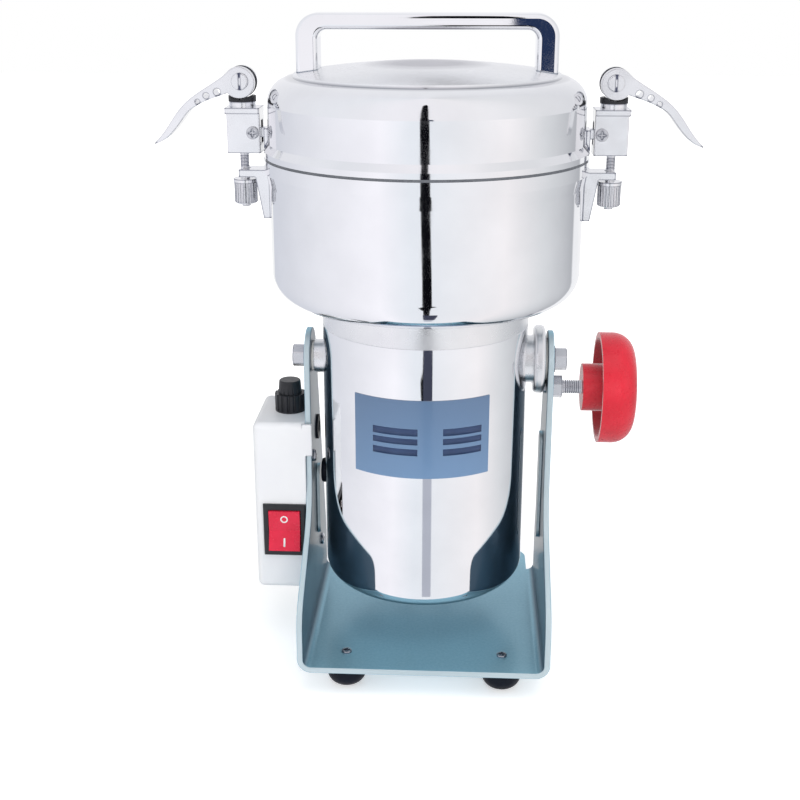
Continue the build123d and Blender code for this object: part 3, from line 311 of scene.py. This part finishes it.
def metal(name, dark, bright, smooth, rough, strength=0.05, edge=None):
    """Plain metal, with a painted dark reflection along its edges where an edge tone is given."""
    look = Look(name, Metallic=1.0)
    colour = look.tint(look.noise(cloud_size), dark, bright)
    if edge:
        # Painted reflection: dark tone along the edges
        colour = look.blend(look.edges(edge_width), edge, colour)
    look.into(colour, "Base Color")
    look.into(look.sheen(patch_size, smooth, rough), "Roughness")
    look.bump(look.noise(grain_size), strength)
    return look.material


def polished_steel():
    """Spun and polished sheet: faint rings round the axis, a satin crown on the lid, a painted dark
    reflection in the lid's middle and a painted shade line round the crown's edge.
    """
    look = Look("polished_steel", Metallic=1.0)
    crown_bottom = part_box("lid")[1].z - crown_height
    steel = look.tint(look.noise(cloud_size), (0.80, 0.81, 0.83), (0.86, 0.87, 0.89))
    # Painted dark reflection: the crown darker, and its specular tint greyer, towards the middle of the lid
    on_crown = look.spread(look.height(), 0.0, 1.0, crown_bottom, crown_bottom + crown_edge)
    middle = look.spread(look.away_from_axis(), 1.0, 0.0, reflection_inner, reflection_outer)
    painted_reflection = look.times(on_crown, middle)
    steel = look.blend(painted_reflection, steel, (0.52, 0.52, 0.55))
    look.into(look.blend(painted_reflection, (1.0, 1.0, 1.0), (0.82, 0.82, 0.84)), "Specular Tint")
    # Painted shade: a dark line round the edge of the crown
    line = look.spread(look.height(), 0.0, 1.0, crown_bottom - crown_edge, crown_bottom)
    line_end = look.spread(look.height(), 1.0, 0.0, crown_bottom, crown_bottom + crown_edge)
    steel = look.blend(look.times(line, line_end), steel, (0.42, 0.43, 0.46))
    look.into(steel, "Base Color")
    rings = look.noise(polish_size, detail=2.0, place=look.rings())
    satin = look.spread(look.height(), 0.0, crown_satin, crown_bottom, crown_bottom + crown_edge)
    look.into(look.combine("ADD", satin, look.sheen(sheen_size, 0.035, 0.075)), "Roughness")
    look.bump(rings, 0.012)
    return look.material


def hammertone():
    """Glossy blue-grey enamel with a fine hammered skin, painted shade on the inner faces of the arms and a
    painted highlight on the rims.
    """
    look = Look("hammertone", Metallic=0.6, Coat_Weight=0.15, Coat_Roughness=0.06)
    clouds = look.noise(hammer_size, detail=4.0)
    paint = look.tint(clouds, (0.225, 0.45, 0.57), (0.28, 0.52, 0.64), paint_low, paint_high)
    # Painted shade on the faces of the arms that look inwards
    inner = look.spread(look.outward(), 1.0, 0.0, inner_shade_full, inner_shade_none)
    paint = look.blend(inner, paint, (0.055, 0.10, 0.145))
    # Painted highlight: paler paint on faces that look to the front and up
    rim_highlight = look.spread(look.facing(highlight_direction), 0.0, 1.0, highlight_start_share, highlight_end_share)
    look.into(look.blend(rim_highlight, paint, (0.50, 0.60, 0.64)), "Base Color")
    look.into(look.spread(look.noise(cloud_size), 0.3, 0.38), "Roughness")
    look.bump(look.cells(hammer_size), 0.06)
    return look.material


def powder_coat():
    look = Look("powder_coat")
    shell = look.tint(look.noise(cloud_size), (0.76, 0.77, 0.80), (0.80, 0.81, 0.83))
    # Painted shade along the edges of the box
    look.into(look.blend(look.edges(edge_width), (0.42, 0.44, 0.48), shell), "Base Color")
    look.into(look.spread(look.noise(grain_size), 0.36, 0.48), "Roughness")
    look.bump(look.noise(powder_size), 0.12)
    return look.material


def plastic(name, dark, bright, smooth, rough, strength=0.06, coat=0.0, gloss=0.35):
    look = Look(name, Coat_Weight=coat, Coat_Roughness=0.08, Specular_IOR_Level=gloss)
    look.into(look.tint(look.noise(patch_size), dark, bright), "Base Color")
    look.into(look.sheen(skin_size, smooth, rough), "Roughness")
    look.bump(look.noise(grain_size), strength)
    return look.material


def clear_glass():
    look = Look("clear_glass", Transmission_Weight=1.0, IOR=1.48)
    look.into(look.tint(look.noise(cloud_size), (0.93, 0.95, 0.95), (0.97, 0.98, 0.98)), "Base Color")
    look.into(look.spread(look.noise(glass_size), 0.02, 0.05), "Roughness")
    return look.material


def blue_foil():
    """Blue plate, a little paler towards its lower edge."""
    low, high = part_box("nameplate")
    look = Look("blue_foil", Coat_Weight=0.3, Coat_Roughness=0.1)
    blue = look.tint(look.height(), (0.13, 0.235, 0.40), (0.095, 0.165, 0.285), low.z, high.z)
    look.into(blue, "Base Color")
    look.into(look.spread(look.noise(foil_size), 0.28, 0.38), "Roughness")
    look.bump(look.noise(grain_size), 0.03)
    return look.material


def copper_wire():
    look = Look("copper_wire", Metallic=1.0)
    strands = look.noise(grain_size, detail=1.0, place=look.rings())
    look.into(look.tint(strands, (0.35, 0.12, 0.05), (0.72, 0.33, 0.17)), "Base Color")
    look.into(look.spread(strands, 0.25, 0.45), "Roughness")
    look.bump(strands, 0.4)
    return look.material


def stacked_steel():
    """Thin sheets, seen as fine level lines."""
    look = Look("stacked_steel", Metallic=1.0)
    sheets = look.noise(grain_size, detail=1.0, stretch=sheet_stretch)
    look.into(look.tint(sheets, (0.16, 0.16, 0.17), (0.34, 0.34, 0.35)), "Base Color")
    look.into(look.spread(sheets, 0.4, 0.6), "Roughness")
    look.bump(sheets, 0.3)
    return look.material


# Finish of each slot, and of the pieces and details that differ from their slot
finishes = {
    "stand_paint": hammertone(),
    "box_shell": powder_coat(),
    "rubber": plastic("black_rubber", (0.004, 0.006, 0.012), (0.007, 0.010, 0.018), 0.42, 0.6,
                      strength=0.15, gloss=0.12),
    # The edge tones of zinc steel, latch steel and chrome are painted dark reflections along the edges
    "zinc_steel": metal("zinc_steel", (0.56, 0.57, 0.60), (0.68, 0.69, 0.72), 0.2, 0.34,
                        edge=(0.12, 0.13, 0.17)),
    "black_plastic": plastic("black_plastic", (0.012, 0.013, 0.016), (0.020, 0.021, 0.025), 0.3, 0.42),
    "red_rocker": plastic("red_rocker", (0.62, 0.010, 0.040), (0.70, 0.016, 0.055), 0.2, 0.3,
                          strength=0.02, coat=0.1),
    "red_knob": plastic("red_knob", (0.56, 0.010, 0.026), (0.63, 0.015, 0.035), 0.24, 0.34,
                        strength=0.03, coat=0.08),
    "fuse_glass": clear_glass(),
    "white_washer": plastic("white_nylon", (0.74, 0.74, 0.72), (0.80, 0.80, 0.78), 0.4, 0.5),
    "pale_metal": metal("pale_metal", (0.76, 0.77, 0.79), (0.84, 0.85, 0.86), 0.24, 0.34),
    "polished_steel": polished_steel(),
    "blue_plate": blue_foil(),
    "core_steel": stacked_steel(),
    "copper": copper_wire(),
    "carbon": plastic("carbon", (0.020, 0.020, 0.021), (0.035, 0.035, 0.036), 0.5, 0.65, strength=0.2),
    "blade_steel": metal("blade_steel", (0.58, 0.59, 0.60), (0.70, 0.71, 0.72), 0.2, 0.32),
    "latch_steel": metal("latch_steel", (0.78, 0.79, 0.81), (0.86, 0.86, 0.88), 0.12, 0.22,
                         strength=0.03, edge=(0.10, 0.11, 0.16)),
}
chrome = metal("chrome", (0.84, 0.85, 0.87), (0.88, 0.89, 0.91), 0.02, 0.05,
               strength=0.01, edge=(0.17, 0.21, 0.27))
mark_white = plastic("mark_white", (0.80, 0.80, 0.80), (0.86, 0.86, 0.86), 0.35, 0.45)
silicone = plastic("grey_silicone", (0.13, 0.14, 0.16), (0.18, 0.19, 0.21), 0.4, 0.5)
field_blue = plastic("field_blue", (0.022, 0.042, 0.105), (0.030, 0.055, 0.130), 0.3, 0.4)
own_finishes = {"handle": chrome, "lid_gasket": silicone}

# Pieces that the steel around them doesn't mirror
left_out_of_reflections = ["clamp_knob", "rocker_button"]


def dress_nodes():
    """Every solid gets the finish of its slot, or its own."""
    for entry in frame["record"]["subparts"]:
        node = nodes[entry["node"]]
        finish = own_finishes.get(entry["node"], finishes[entry["material_slot"]])
        node.data.materials.clear()
        node.data.materials.append(finish)


def piece(name, build, finish, body):
    """New mesh in the shared frame that rides on a body."""
    mesh = bpy.data.meshes.new(name)
    shape = bmesh.new()
    build(shape)
    shape.to_mesh(mesh)
    shape.free()
    mesh.materials.append(finish)
    for polygon in mesh.polygons:
        polygon.use_smooth = True
    obj = bpy.data.objects.new(name, mesh)
    bpy.context.scene.collection.objects.link(obj)
    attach(obj, body)


def prism(shape, outline, place, height):
    """Closed flat shape: outline points (u, v) put in place, raised by a height."""
    lower = [shape.verts.new(place(u, v, 0.0)) for u, v in outline]
    upper = [shape.verts.new(place(u, v, height)) for u, v in outline]
    shape.faces.new(list(reversed(lower)))
    shape.faces.new(upper)
    count = len(outline)
    for index in range(count):
        after = (index + 1) % count
        shape.faces.new((lower[index], lower[after], upper[after], upper[index]))


def band(shape, inner, outer, place, height):
    """Closed flat ring between two outlines of as many points."""
    count = len(inner)
    rows = [[shape.verts.new(place(u, v, n)) for u, v in outline]
            for outline, n in ((inner, 0.0), (outer, 0.0), (outer, height), (inner, height))]
    for index in range(count):
        after = (index + 1) % count
        for first, second in zip(rows, rows[1:] + rows[:1]):
            shape.faces.new((first[index], first[after], second[after], second[index]))


def joint_place(name):
    joints = frame["record"]["behaviour"]["joints"]
    return next(Vector(joint["pos_m"]) for joint in joints if joint["name"] == name)


def rocker_place(side):
    """Map from flat coordinates to the upper (1) or lower (-1) half of the rocker's face."""
    pivot = joint_place("rocker_tip")
    slope = (rocker_crest - rocker_valley) / rocker_half

    def place(u, v, n):
        rise = side * mark_reach + v
        depth = rocker_valley + slope * abs(rise) + n
        y = -depth * cos(rocker_rest_turn) - rise * sin(rocker_rest_turn)
        z = -depth * sin(rocker_rest_turn) + rise * cos(rocker_rest_turn)
        return pivot + Vector((u, y, z))

    return place


def arc(radius, steps, start=0.0, end=2 * pi, rise=0.0):
    """Points along an arc, without its last one, round a middle that is raised."""
    angles = [start + (end - start) * step / steps for step in range(steps)]
    return [(radius * cos(angle), rise + radius * sin(angle)) for angle in angles]


def off_mark(shape):
    inner = arc(mark_ring_radius - mark_ring_width, mark_steps)
    band(shape, inner, arc(mark_ring_radius, mark_steps), rocker_place(1), mark_height)


def on_mark(shape):
    end = mark_bar_width / 2
    reach = mark_bar_length / 2 - end
    outline = arc(end, mark_steps, 0.0, pi, reach) + arc(end, mark_steps, pi, 2 * pi, -reach)
    prism(shape, outline, rocker_place(-1), mark_height)


def plate_fields(shape):
    """Two groups of level bars that follow the round of the plate."""
    low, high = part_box("nameplate")
    radius = -low.y
    tall = high.z - low.z

    def place(angle, z, n):
        return Vector(((radius + n) * sin(angle), -(radius + n) * cos(angle), z))

    for start, end in field_angles:
        angles = [radians(start + (end - start) * step / field_steps) for step in range(field_steps + 1)]
        for top_share, bottom_share in field_row_shares:
            top = high.z - tall * top_share
            bottom = high.z - tall * bottom_share
            for first, second in zip(angles, angles[1:]):
                corners = [(first, bottom), (second, bottom), (second, top), (first, top)]
                prism(shape, corners, place, field_height)
    bmesh.ops.remove_doubles(shape, verts=shape.verts, dist=field_height * field_merge_share)
    inner = [face for face in shape.faces if all(len(edge.link_faces) > 2 for edge in face.edges)]
    bmesh.ops.delete(shape, geom=inner, context="FACES_ONLY")


def details():
    piece("switch_off_mark", off_mark, mark_white, "rocker")
    piece("switch_on_mark", on_mark, mark_white, "rocker")
    piece("plate_fields", plate_fields, field_blue, "grinder_body")


def surround(tree, direction, tones):
    """Tone of the surroundings for a direction or place round the object."""
    split = tree.nodes.new("ShaderNodeSeparateXYZ")
    tree.links.new(direction, split.inputs["Vector"])
    front = tree.nodes.new("ShaderNodeMath")
    front.operation = "MULTIPLY"
    front.inputs[1].default_value = -1.0
    tree.links.new(split.outputs["Y"], front.inputs[0])
    angle = tree.nodes.new("ShaderNodeMath")
    angle.operation = "ARCTAN2"
    tree.links.new(split.outputs["X"], angle.inputs[0])
    tree.links.new(front.outputs["Value"], angle.inputs[1])
    turn = tree.nodes.new("ShaderNodeMapRange")
    turn.inputs["From Min"].default_value = -pi
    turn.inputs["From Max"].default_value = pi
    tree.links.new(angle.outputs["Value"], turn.inputs["Value"])
    ramp = tree.nodes.new("ShaderNodeValToRGB")
    elements = ramp.color_ramp.elements
    for degrees, tone in tones[1:-1]:
        elements.new((degrees + 180) / 360).color = (*tone, 1)
    elements[0].color = (*tones[0][1], 1)
    elements[len(elements) - 1].color = (*tones[-1][1], 1)
    tree.links.new(turn.outputs["Result"], ramp.inputs["Fac"])
    return ramp.outputs["Color"]


def studio_world():
    """White to the camera, graded to reflections, even to matt surfaces."""
    world = bpy.data.worlds.new("studio")
    bpy.context.scene.world = world
    world.use_nodes = True
    tree = world.node_tree
    back = tree.nodes["Background"]
    rays = tree.nodes.new("ShaderNodeLightPath")
    place = tree.nodes.new("ShaderNodeTexCoord")
    mix = tree.nodes.new("ShaderNodeMix")
    mix.data_type = "RGBA"
    mix.inputs["A"].default_value = (1, 1, 1, 1)
    tree.links.new(rays.outputs["Is Glossy Ray"], mix.inputs["Factor"])
    tree.links.new(surround(tree, place.outputs["Generated"], sky_tones), mix.inputs["B"])
    tree.links.new(mix.outputs["Result"], back.inputs["Color"])
    strength = tree.nodes.new("ShaderNodeMapRange")
    strength.inputs["To Min"].default_value = 1.0
    strength.inputs["To Max"].default_value = matt_light
    tree.links.new(rays.outputs["Is Diffuse Ray"], strength.inputs["Value"])
    tree.links.new(strength.outputs["Result"], back.inputs["Strength"])


def stage_mesh(name, points, faces, material):
    mesh = bpy.data.meshes.new(name)
    mesh.from_pydata(points, [], faces)
    mesh.materials.append(material)
    obj = bpy.data.objects.new(name, mesh)
    bpy.context.scene.collection.objects.link(obj)
    return obj


def floor():
    """Pale floor: white to the camera away from the object, graded to reflections."""
    look = Look("floor", Roughness=0.9)
    look.into(look.tint(look.noise(cloud_size), (0.84, 0.84, 0.845), (0.86, 0.86, 0.865)), "Base Color")
    look.shader.inputs["Emission Color"].default_value = (1, 1, 1, 1)
    rays = look.add("ShaderNodeLightPath")
    distance = look.add("ShaderNodeVectorMath", operation="LENGTH")
    look.join(look.place, distance.inputs[0])
    glow_level = look.spread(distance.outputs["Value"], floor_glow, 1.0, floor_near, floor_clear)
    look.into(look.times(rays.outputs["Is Camera Ray"], glow_level), "Emission Strength")
    shine = look.add("ShaderNodeEmission")
    look.join(surround(look.tree, look.place, floor_tones), shine.inputs["Color"])
    mix = look.add("ShaderNodeMixShader")
    look.join(rays.outputs["Is Glossy Ray"], mix.inputs["Fac"])
    look.join(look.shader.outputs["BSDF"], mix.inputs[1])
    look.join(shine.outputs["Emission"], mix.inputs[2])
    look.join(mix.outputs["Shader"], look.tree.nodes["Material Output"].inputs["Surface"])
    h = floor_half
    stage_mesh("floor", [(-h, -h, 0), (h, -h, 0), (h, h, 0), (-h, h, 0)], square_face, look.material)


def glow(name, colour):
    """Material of one even tone, whatever light falls on it."""
    material = bpy.data.materials.new(name)
    material.use_nodes = True
    shader = material.node_tree.nodes["Principled BSDF"]
    shader.inputs["Base Color"].default_value = (0, 0, 0, 1)
    shader.inputs["Roughness"].default_value = 1.0
    shader.inputs["Specular IOR Level"].default_value = 0.0
    shader.inputs["Emission Color"].default_value = (*colour, 1)
    shader.inputs["Emission Strength"].default_value = 1.0
    return material


def reflected_card(name, points, faces, tone):
    """Card of an even tone that only reflections show."""
    card = stage_mesh(name, points, faces, glow(name, tone))
    card.visible_camera = False
    card.visible_diffuse = False
    card.visible_shadow = False


def strip_place(reach, shift, z=card_lift):
    """Point in front of the object, measured along and across the line of sight."""
    out = Vector((sin(camera_azimuth), -cos(camera_azimuth), 0))
    across = Vector((cos(camera_azimuth), sin(camera_azimuth), 0))
    return out * reach + across * shift + Vector((0, 0, z))


def dark_strip():
    """Narrow strip on the floor in front, whose reflection is the upright line on the steel."""
    points = [strip_place(reach, shift - half) for reach, shift, half in strip_stations]
    points += [strip_place(reach, shift + half) for reach, shift, half in reversed(strip_stations)]
    count = len(strip_stations)
    faces = [(index, 2 * count - 1 - index, 2 * count - 2 - index, index + 1) for index in range(count - 1)]
    reflected_card("strip", points, faces, strip_black)


def strip_post():
    """Upright end of the strip, with a round top."""
    reach, shift, half = strip_stations[-1]
    outline = [(-half, strip_post_bottom), (half, strip_post_bottom)]
    top = arc(1, strip_post_steps, 0.0, pi)
    outline += [(half * u, strip_post_height + strip_post_end * v) for u, v in top]
    outline += [(-half, strip_post_height)]
    points = [strip_place(reach, shift + u, v) for u, v in outline]
    reflected_card("strip_post", points, [tuple(range(len(points)))], strip_black)


def near_strip():
    """Small cards that continue the line on the motor shell, slate above and pale below."""
    reach, shift, half = near_card_station
    for number, (tone, low, high) in enumerate(near_card_heights):
        corners = ((-half, low), (half, low), (half, high), (-half, high))
        points = [strip_place(reach, shift + u, z) for u, z in corners]
        reflected_card(f"near_strip_{number}", points, square_face, tone)


def side_card():
    """Dark upright card whose reflection is on the handle's right leg."""
    x, y, z = side_card_place
    half, tall = side_card_half
    corners = ((-half, -tall), (half, -tall), (half, tall), (-half, tall))
    points = [(x + u, y, z + v) for u, v in corners]
    reflected_card("side_card", points, square_face, side_card_tone)


def softbox(name, place, aim, size, energy):
    data = bpy.data.lights.new(name, "AREA")
    data.shape = "RECTANGLE"
    data.size, data.size_y = size
    data.energy = energy
    lamp = bpy.data.objects.new(name, data)
    lamp.location = place
    lamp.rotation_mode = "QUATERNION"
    lamp.rotation_quaternion = (Vector(aim) - Vector(place)).to_track_quat("-Z", "Y")
    lamp.visible_glossy = False
    bpy.context.scene.collection.objects.link(lamp)


def camera():
    data = bpy.data.cameras.new("camera")
    data.sensor_width = sensor_width
    data.lens = sensor_width * focal_pixels / photo_size
    obj = bpy.data.objects.new("camera", data)
    level = Vector((-sin(camera_azimuth), cos(camera_azimuth), 0))
    across = Vector((cos(camera_azimuth), sin(camera_azimuth), 0))
    obj.location = across * camera_side - level * camera_distance + Vector((0, 0, camera_height))
    forward = level * cos(camera_pitch) - Vector((0, 0, sin(camera_pitch)))
    obj.rotation_mode = "QUATERNION"
    obj.rotation_quaternion = forward.to_track_quat("-Z", "Y")
    bpy.context.scene.collection.objects.link(obj)
    bpy.context.scene.camera = obj


def studio():
    studio_world()
    floor()
    for name in left_out_of_reflections:
        nodes[name].visible_glossy = False
    dark_strip()
    strip_post()
    near_strip()
    side_card()
    middle = (cad_low + cad_high) / 2
    for name, place, size, power in softboxes:
        softbox(name, place, middle, size, power)


dress_nodes()
details()
studio()
camera()
bpy.context.scene.view_settings.view_transform = "Standard"
